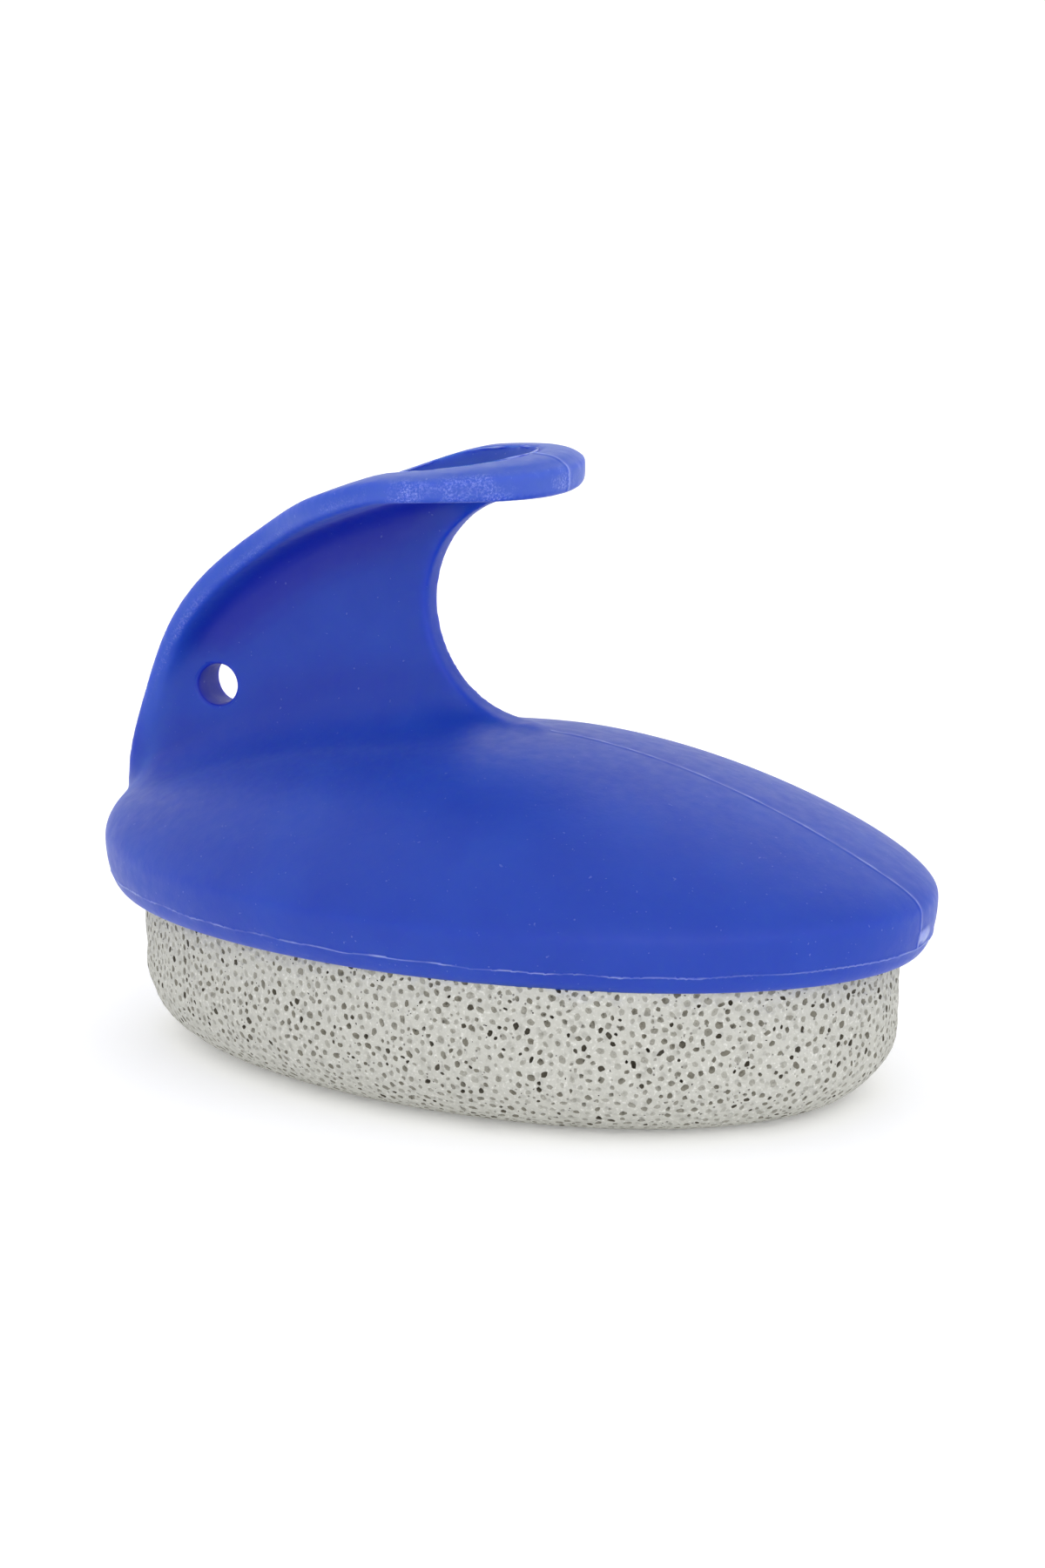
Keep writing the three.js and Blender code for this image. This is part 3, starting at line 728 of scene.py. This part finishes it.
def blue_polyethylene():
    """Matt blue plastic, cloudy in tone, with pale flash, scuffs, fine dust, painted shade and highlight,
    soft orange peel.
    """
    material = bpy.data.materials.new("blue_polyethylene")
    material.use_nodes = True
    tree = material.node_tree
    surface = tree.nodes["Principled BSDF"]
    place = wired(tree, "ShaderNodeTexCoord").outputs["Object"]
    cloud = stretched(tree, grain(tree, place, scale=90.0, detail=3.0), 0.3, 0.7)
    colour = tinted(tree, cloud, DEEP_BLUE, CLEAR_BLUE)
    # Painted shade in hollows and in the hanging hole
    colour = tinted(tree, kept(tree, "painted_hollow_shade"), colour, PAINTED_SHADE_BLUE)
    # Pale bloom with a painted highlight on upturned faces
    colour = tinted(tree, kept(tree, "bloom_and_highlight"), colour, BLOOM_HIGHLIGHT_BLUE, strength=0.75)
    speckle = stretched(tree, grain(tree, place, scale=4200.0, detail=4.0, roughness=0.7), 0.47, 0.64)
    patches = stretched(tree, grain(tree, place, scale=140.0, detail=3.0), 0.43, 0.64)
    worn = combined(tree, "MULTIPLY", kept(tree, "side_scuff"), patches)
    worn = combined(tree, "MULTIPLY", worn, speckle)
    colour = tinted(tree, kept(tree, "side_scuff"), colour, RUBBED_BLUE, strength=0.07)
    colour = tinted(tree, worn, colour, SCRATCHED_BLUE, strength=0.85)
    lint = stretched(tree, grain(tree, place, scale=1900.0, detail=1.0), 0.74, 0.80)
    colour = tinted(tree, lint, colour, LINT_BLUE, strength=0.16)
    crumbs = stretched(tree, grain(tree, place, scale=2600.0, detail=3.0), 0.50, 0.62)
    dust = combined(tree, "MULTIPLY", kept(tree, "rest_dust"), crumbs)
    colour = tinted(tree, dust, colour, DUST_BLUE, strength=0.35)
    broken = stretched(tree, grain(tree, place, scale=380.0, detail=3.0), 0.35, 0.55, 0.35, 1.0)
    flash = combined(tree, "MULTIPLY", stretched(tree, kept(tree, "flash"), 0.1, 0.8), broken)
    colour = tinted(tree, flash, colour, FLASH_BLUE, strength=0.5)
    tree.links.new(colour, surface.inputs["Base Color"])
    dull_spots = grain(tree, place, scale=650.0, detail=3.0)
    tree.links.new(stretched(tree, dull_spots, 0.3, 0.7, 0.42, 0.54), surface.inputs["Roughness"])
    surface.inputs["Specular IOR Level"].default_value = 0.34
    surface.inputs["Sheen Weight"].default_value = 0.08
    surface.inputs["Sheen Roughness"].default_value = 0.4
    surface.inputs["Subsurface Weight"].default_value = 1.0
    surface.inputs["Subsurface Radius"].default_value = (0.1, 0.15, 1.0)
    surface.inputs["Subsurface Scale"].default_value = 0.003
    fine_peel = combined(tree, "MULTIPLY", grain(tree, place, scale=3500.0), 0.3)
    peel = combined(tree, "ADD", grain(tree, place, scale=700.0), fine_peel)
    bump = wired(tree, "ShaderNodeBump", {"Strength": 0.15, "Distance": 0.0002, "Height": peel})
    tree.links.new(bump.outputs["Normal"], surface.inputs["Normal"])
    return material


def placed(name, mesh, material):
    """Object in the scene from a mesh that was drawn in millimetres."""
    mesh.transform(Matrix.Scale(MM, 4))
    mesh.materials.append(material)
    made = bpy.data.objects.new(name, mesh)
    bpy.context.scene.collection.objects.link(made)
    return made


def make_smooth(mesh):
    """Shades every face smooth."""
    for polygon in mesh.polygons:
        polygon.use_smooth = True


make_smooth(handle_mesh)
handle = placed("handle_moulding", handle_mesh, blue_polyethylene())
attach(handle, "root")
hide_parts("handle")

# Bead of flash: blue polyethylene that crept between the mould's halves along the rim of the finger rest.
# It is one with the handle's moulding, and is drawn apart as a thin ragged tube because it is so fine.

BEAD_RADIUS = 0.12
BEAD_SIDES = 6
BEAD_OUT = 0.03
BEAD_SINK = 0.16
BEAD_LEAD = 0.4


def rest_flash():
    """Thin ragged bead along the rim of the finger rest."""
    rim = in_rest(REST_RIM - BEAD_OUT, BEAD_SINK)
    rim = rim[edge_line[:, 0] > REST_TAIL_X + BEAD_LEAD]
    rim = np.concatenate([rim * (1, -1, 1), rim[-2::-1]])
    along = np.gradient(rim, axis=0)
    along /= np.linalg.norm(along, axis=1)[:, None]
    side = np.cross(along, (0, 0, 1))
    up = np.array((0.0, 0.0, 1.0))
    size = BEAD_RADIUS * raggedness(*rim.T)[:, None]
    tube = [rim + size * (side * math.cos(t) + up * math.sin(t)) for t in full_turn(BEAD_SIDES)]
    return skinned("rest_flash", np.stack(tube, 1))


bead_mesh = rest_flash()
add_values(bead_mesh, "flash", raggedness(*points_of(bead_mesh).T) ** 2)
bead = placed("rest_flash", bead_mesh, handle_mesh.materials[0])
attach(bead, "root")

# Stone: an oval block of pumice, sawn to shape, with its lower edge and base rubbed smooth. It is glued under
# the handle. Gas in the lava left it full of bubbles, and those that the cut opened show as pits.
# Its sizes are in millimetres, like the handle's.

STONE_HALF_LENGTH = 45.3
STONE_HALF_WIDTH = 29.3
STONE_TAPER = 0.08
STONE_EDGE = 8.8
STONE_TOP = 17.4
STONE_WAVE = 0.05
STONE_WAVE_FULL = 2.0
STONE_BASE_INSETS = (26.0, 22.0, 18.0, 14.0, 11.0)
STONE_SEED = 20
STONE_SHARP = math.radians(38)
# Kinds of pit, from bubbles that wear has almost rubbed away to pin-holes. The floor is its share of the
# mouth's width, and the darkness, painted shade with some dirt, runs from 0, as pale as the cut face, to 1,
# black.
PIT_KINDS = (
    dict(flank=2300, base=250, radius=(0.28, 0.64), depth=(0.12, 0.24), stretch=1.3, corners=10, floor=0.0,
         darkness=(0.24, 0.56), rim_share=0.7),
    dict(flank=2100, base=170, radius=(0.30, 0.60), depth=(0.24, 0.42), stretch=1.4, corners=10, floor=0.0,
         darkness=(0.40, 0.74), rim_share=0.8),
    dict(flank=700, base=60, radius=(0.22, 0.46), depth=(0.40, 0.75), stretch=1.6, corners=10, floor=0.8,
         darkness=(0.66, 0.84), rim_share=0.92),
    dict(flank=600, base=50, radius=(0.06, 0.14), depth=(0.30, 0.60), stretch=2.2, corners=6, floor=0.0,
         darkness=(0.93, 0.99), rim_share=1.0),
)
PIT_SIZE_POWER = 1.15
PIT_TRIES = 40
PIT_ROOM = 1.08
PIT_MOUTH_RISE = 0.06
PIT_CORNER_SHIFT = 0.5
PIT_LOBES = 0.2
PIT_RAGGED = 0.3
PIT_LEAN = 0.3
PIT_FLOOR_DEPTH = 0.7


def flank(turn, inset, height):
    """Points of the stone's surface, set in from its widest outline and a little uneven above the base."""
    x = (STONE_HALF_LENGTH - inset) * np.cos(turn)
    y = (STONE_HALF_WIDTH * (1 + STONE_TAPER * np.cos(turn)) - inset) * np.sin(turn)
    wave = np.sin(1.1 * x + 0.7 * height) + np.sin(0.9 * y - 1.3 * height + 2) + np.sin(0.6 * x - 0.8 * y)
    uneven = 1 + STONE_WAVE / STONE_HALF_WIDTH * wave * np.clip(height / STONE_WAVE_FULL, 0, 1)
    return np.stack([x * uneven, y * uneven, height + 0 * x], -1)


def stone_block():
    """The sawn block before its pits, as rings from the middle of the base up to the handle."""
    turn = full_turn(220)
    rings = [flank(turn, inset, 0.0) for inset in STONE_BASE_INSETS]
    for angle in quarter_turn(13):
        inset = STONE_EDGE * (1 - math.sin(angle))
        rings.append(flank(turn, inset, STONE_EDGE * (1 - math.cos(angle))))
    rings += [flank(turn, 0.0, height) for height in np.linspace(STONE_EDGE, STONE_TOP, 9)[1:]]
    return skinned("stone_block", np.stack(rings))


def pit_places(chance):
    """Pits as kind, radius, place and way out of the stone, none of which touch one another."""
    arc = STONE_EDGE * math.pi / 2
    wanted = []
    for kind in PIT_KINDS:
        least, most = kind["radius"]
        for on_side, count in ((True, kind["flank"]), (False, kind["base"])):
            for size in chance.random(count):
                wanted.append((least + (most - least) * size**PIT_SIZE_POWER, on_side, kind))
    wanted.sort(key=lambda pit: -pit[0])
    pits = []
    places = np.zeros((len(wanted), 3))
    radii = np.zeros(len(wanted))
    for radius, on_side, kind in wanted:
        for _ in range(PIT_TRIES):
            turn = np.array(2 * math.pi * chance.random())
            if on_side:
                along = chance.random() * (arc + STONE_TOP - STONE_EDGE)
                angle = min(along / STONE_EDGE, math.pi / 2)
                inset = STONE_EDGE * (1 - math.sin(angle))
                place = flank(turn, inset, STONE_EDGE * (1 - math.cos(angle)) + max(along - arc, 0))
                step = flank(turn + 1e-3, inset, place[2]) - place
                side = np.array((step[1], -step[0], 0.0))
                out = side / np.linalg.norm(side) * math.sin(angle) - np.array((0, 0, math.cos(angle)))
            else:
                place = flank(turn, STONE_EDGE, 0.0) * math.sqrt(chance.random())
                out = np.array((0.0, 0.0, -1.0))
            apart = np.linalg.norm(places[:len(pits)] - place, axis=1)
            if np.all(apart > PIT_ROOM * (radii[:len(pits)] + radius)):
                places[len(pits)] = place
                radii[len(pits)] = radius
                pits.append((kind, radius, place, out))
                break
    return pits


def bubbles(chance):
    """One mesh of closed bowls, one for each opened bubble, which keeps each one's painted shade and dirt
    inside.
    """
    points = []
    faces = []
    darkness = []
    mouth_darkness = []
    start = 0
    for kind, radius, place, out in pit_places(chance):
        count = kind["corners"]
        across = np.cross(out, chance.normal(size=3))
        across /= np.linalg.norm(across)
        stretch = math.sqrt(1 + (kind["stretch"] - 1) * chance.random())
        turn = 2 * math.pi * (np.arange(count) + PIT_CORNER_SHIFT * chance.random(count)) / count
        uneven = 1 + PIT_LOBES * chance.random() * np.sin(2 * turn + 6 * chance.random())
        uneven *= radius * (1 - PIT_RAGGED * chance.random(count))
        flat = np.stack([np.cos(turn) * stretch, np.sin(turn) / stretch], 1) * uneven[:, None]
        flat = flat @ np.stack([across, np.cross(out, across)])
        shallow, deep = kind["depth"]
        depth = shallow + (deep - shallow) * chance.random()
        lean = flat[int(chance.integers(count))] * PIT_LEAN
        pale, dark = kind["darkness"]
        tone = pale + (dark - pale) * chance.random()
        mouth = place + out * PIT_MOUTH_RISE
        rings = [mouth + flat]
        if kind["floor"]:
            rings.append(place - out * PIT_FLOOR_DEPTH * depth + flat * kind["floor"] + lean * 0.5)
        ends = np.stack([mouth, place - out * depth + lean])
        points += rings + [ends]
        corner = np.arange(count) + start
        after = np.roll(corner, -1)
        top = start + len(rings) * count
        faces += [(top, b, a) for a, b in zip(corner, after)]
        if kind["floor"]:
            faces += np.stack([corner, after, after + count, corner + count], 1).tolist()
        lowest = (len(rings) - 1) * count
        faces += [(top + 1, a, b) for a, b in zip(corner + lowest, after + lowest)]
        darkness += [0] * count + [tone] * lowest + [0, tone]
        mouth_darkness += [tone * kind["rim_share"]] * (len(rings) + 1) * count
        start = top + 2
    mesh = bpy.data.meshes.new("bubbles")
    mesh.from_pydata(np.concatenate(points).tolist(), [], faces)
    add_values(mesh, "darkness", np.array(darkness))
    add_values(mesh, "mouth_darkness", np.array(mouth_darkness), "FACE")
    return mesh


stone_mesh = cut_out(stone_block(), bubbles(np.random.default_rng(STONE_SEED)))
make_smooth(stone_mesh)
stone_mesh.set_sharp_from_angle(angle=STONE_SHARP)

# Tones of the pumice, and of its pits' painted shade by how dark they are. The painted blue reflection under
# the handle has its heights in metres. Each kind of worn bubble's ghost has its cells to the metre and the
# share that shows.
PUMICE_GREY = (0.55, 0.55, 0.503, 1)
PUMICE_PALE = (0.632, 0.63, 0.586, 1)
MOTTLE_GREY = (0.51, 0.508, 0.465, 1)
CRYSTAL_PALE = (0.80, 0.795, 0.755, 1)
HANDLE_REFLECTION_BLUE = (0.32, 0.36, 0.58, 1)
HANDLE_REFLECTION_FROM_Z = 0.0155
HANDLE_REFLECTION_TO_Z = 0.0172
GHOST_GREY = (0.35, 0.345, 0.31, 1)
GHOST_KINDS = ((900.0, 0.65), (1400.0, 0.6))
PIN_HOLE_DARK = (0.14, 0.13, 0.11, 1)
PIT_PALEST = (1, 1, 1, 1)
PIT_TONES = ((0.5, (0.42, 0.405, 0.365, 1)), (0.85, (0.18, 0.157, 0.122, 1)))
PIT_DARKEST = (0.05, 0.043, 0.034, 1)


def spots(tree, place, scale, inner, outer, no_chance, full_chance):
    """Round spots, one to a cell, that fade from an inner to an outer edge. Some cells have none."""
    cells = wired(tree, "ShaderNodeTexVoronoi", {"Vector": place, "Scale": scale})
    chance = wired(tree, "ShaderNodeSeparateColor", {"Color": cells.outputs["Color"]}).outputs[0]
    round_spot = stretched(tree, cells.outputs["Distance"], inner, outer, 1.0, 0.0)
    return combined(tree, "MULTIPLY", round_spot, stretched(tree, chance, no_chance, full_chance))


def pale_pumice():
    """Dry grey-white pumice, with painted shade and dirt in pits, shaded bubble ghosts and pin-holes, a
    painted blue reflection, rough grain.
    """
    material = bpy.data.materials.new("pale_pumice")
    material.use_nodes = True
    tree = material.node_tree
    surface = tree.nodes["Principled BSDF"]
    place = wired(tree, "ShaderNodeTexCoord").outputs["Object"]
    cloud = stretched(tree, grain(tree, place, scale=160.0, detail=4.0, roughness=0.6), 0.3, 0.7)
    colour = tinted(tree, cloud, PUMICE_GREY, PUMICE_PALE)
    mottle = stretched(tree, grain(tree, place, scale=2100.0, detail=4.0, roughness=0.7), 0.32, 0.68)
    colour = tinted(tree, mottle, MOTTLE_GREY, colour, strength=0.6)
    crystals = stretched(tree, grain(tree, place, scale=2800.0), 0.56, 0.72)
    colour = tinted(tree, crystals, colour, CRYSTAL_PALE, strength=0.6)
    up = wired(tree, "ShaderNodeSeparateXYZ", {"Vector": place}).outputs["Z"]
    # Painted reflection of the blue handle: a blue tint on the stone just under its rim
    handle_reflection = stretched(tree, grain(tree, place, scale=300.0, detail=3.0), 0.5, 0.66)
    handle_reflection = combined(tree, "MULTIPLY", handle_reflection, stretched(tree, up, HANDLE_REFLECTION_FROM_Z, HANDLE_REFLECTION_TO_Z))
    colour = tinted(tree, handle_reflection, colour, HANDLE_REFLECTION_BLUE, strength=0.35)
    # Pin-holes and the ghosts of worn bubbles are spots of painted shade, each with a matching dent in the
    # bump
    pin_holes = spots(tree, place, 1500.0, 0.13, 0.22, 0.72, 0.76)
    sunken = pin_holes
    for scale, share in GHOST_KINDS:
        ghosts = spots(tree, place, scale, 0.16, 0.48, 1 - share, 1.0)
        colour = tinted(tree, ghosts, colour, GHOST_GREY, strength=0.55)
        sunken = combined(tree, "MAXIMUM", sunken, ghosts)
    colour = tinted(tree, pin_holes, colour, PIN_HOLE_DARK, strength=0.7)
    # Painted shade, with some dirt, darkens the pits by the darkness that the bowls left on the cut
    inside = combined(tree, "MAXIMUM", kept(tree, "darkness"), kept(tree, "mouth_darkness"))
    ramp = wired(tree, "ShaderNodeValToRGB", {"Fac": inside})
    ramp.color_ramp.elements[0].color = PIT_PALEST
    ramp.color_ramp.elements[1].color = PIT_DARKEST
    for position, tone in PIT_TONES:
        ramp.color_ramp.elements.new(position).color = tone
    shades = {0: 1.0, 6: colour, 7: ramp.outputs["Color"]}
    shaded = wired(tree, "ShaderNodeMix", shades, data_type="RGBA", blend_type="MULTIPLY")
    tree.links.new(shaded.outputs[2], surface.inputs["Base Color"])
    surface.inputs["Roughness"].default_value = 0.95
    surface.inputs["Specular IOR Level"].default_value = 0.2
    rough = grain(tree, place, scale=2000.0, detail=5.0, roughness=0.75)
    rough = combined(tree, "SUBTRACT", rough, sunken)
    bump = wired(tree, "ShaderNodeBump", {"Strength": 0.9, "Distance": 0.0002, "Height": rough})
    tree.links.new(bump.outputs["Normal"], surface.inputs["Normal"])
    return material


stone = placed("stone_block", stone_mesh, pale_pumice())
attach(stone, "root")
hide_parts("stone")

# Floor, light and camera: a pale paper sweep, lit a little from below, in an even white studio. The camera
# stands where the photograph was taken from. Sizes here are in metres.

FLOOR_HALF = 6.0
FLOOR_PALE = (0.96, 0.96, 0.96, 1)
WHITE = (1, 1, 1, 1)
STUDIO_BRIGHTNESS = 0.97
LAMP_WIDTH = 1.0
LAMP_AIM = Vector((0, 0, 0.03))
VIEW_TURN = math.radians(28.946)
VIEW_LIFT = math.radians(13.135)
VIEW_DISTANCE = 0.51948
VIEW_TARGET = Vector((0.001435, 0.0, 0.031657))
VIEW_LENS = 107.6
VIEW_SENSOR = 36.0


def pale_paper():
    """Matt white paper that glows a little, as on a light table."""
    material = bpy.data.materials.new("pale_paper")
    material.use_nodes = True
    surface = material.node_tree.nodes["Principled BSDF"]
    surface.inputs["Base Color"].default_value = FLOOR_PALE
    surface.inputs["Roughness"].default_value = 0.9
    surface.inputs["Emission Color"].default_value = WHITE
    surface.inputs["Emission Strength"].default_value = 0.16
    return material


def soft_light(name, place, power):
    """Square lamp with a wide white cover, turned towards the object."""
    lamp = bpy.data.objects.new(name, bpy.data.lights.new(name, "AREA"))
    lamp.data.size = LAMP_WIDTH
    lamp.data.energy = power
    lamp.location = place
    lamp.rotation_mode = "QUATERNION"
    lamp.rotation_quaternion = (LAMP_AIM - lamp.location).to_track_quat("-Z", "Y")
    bpy.context.scene.collection.objects.link(lamp)


corners = [(-1, -1), (1, -1), (1, 1), (-1, 1)]
floor_mesh = bpy.data.meshes.new("floor")
floor_mesh.from_pydata([(FLOOR_HALF * a, FLOOR_HALF * b, 0) for a, b in corners], [], [(0, 1, 2, 3)])
floor_mesh.materials.append(pale_paper())
floor = bpy.data.objects.new("floor", floor_mesh)
bpy.context.scene.collection.objects.link(floor)

world = bpy.data.worlds.new("white_studio")
world.use_nodes = True
world.node_tree.nodes["Background"].inputs["Color"].default_value = WHITE
world.node_tree.nodes["Background"].inputs["Strength"].default_value = STUDIO_BRIGHTNESS
bpy.context.scene.world = world
bpy.context.scene.view_settings.view_transform = "Standard"
soft_light("front_light", (0.63, -1.1, 0.45), 3.6)
soft_light("right_light", (1.3, -0.2, 0.6), 2.3)
soft_light("left_light", (-1.3, -0.3, 0.6), 1.1)
soft_light("back_light", (-0.4, 1.1, 1.0), 1.4)

back_of_view = Vector((
    math.sin(VIEW_TURN) * math.cos(VIEW_LIFT),
    -math.cos(VIEW_TURN) * math.cos(VIEW_LIFT),
    math.sin(VIEW_LIFT),
))
camera = bpy.data.objects.new("camera", bpy.data.cameras.new("camera"))
camera.data.lens = VIEW_LENS
camera.data.sensor_width = VIEW_SENSOR
camera.data.clip_start = 0.01
camera.data.clip_end = 100.0
camera.location = VIEW_TARGET + back_of_view * VIEW_DISTANCE
camera.rotation_mode = "QUATERNION"
camera.rotation_quaternion = (-back_of_view).to_track_quat("-Z", "Y")
bpy.context.scene.collection.objects.link(camera)
bpy.context.scene.camera = camera
